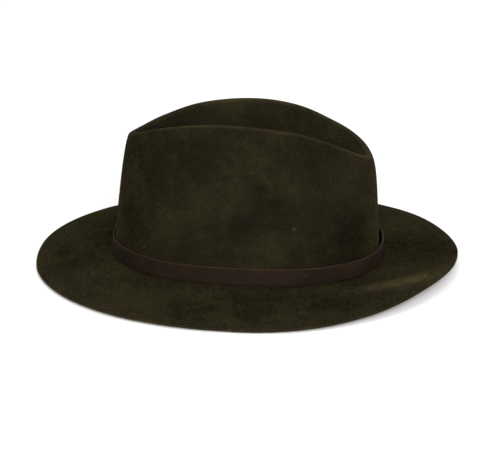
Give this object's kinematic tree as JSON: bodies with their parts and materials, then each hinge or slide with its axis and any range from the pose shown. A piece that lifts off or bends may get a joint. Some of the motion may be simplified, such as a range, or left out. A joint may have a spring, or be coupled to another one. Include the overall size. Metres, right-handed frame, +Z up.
{
  "type": "felt hat",
  "caption": "Felt hat with a long centre dent in a tapered crown, a wide brim turned up at the back and a plain leather band.",
  "frame": {"origin": "on the surface the hat stands on, under the middle of its length and width", "axes": "+Z up, the front of the hat faces -Y, +X is the wearer's left"},
  "size_m": [0.288, 0.327, 0.1193],
  "materials": {
    "felt": "matte napped felt, dark olive",
    "band_leather": "matte waxed leather, dark brown"
  },
  "bodies": {
    "root": {"felt_body": "felt", "hat_band": "band_leather"}
  },
  "joints": []
}
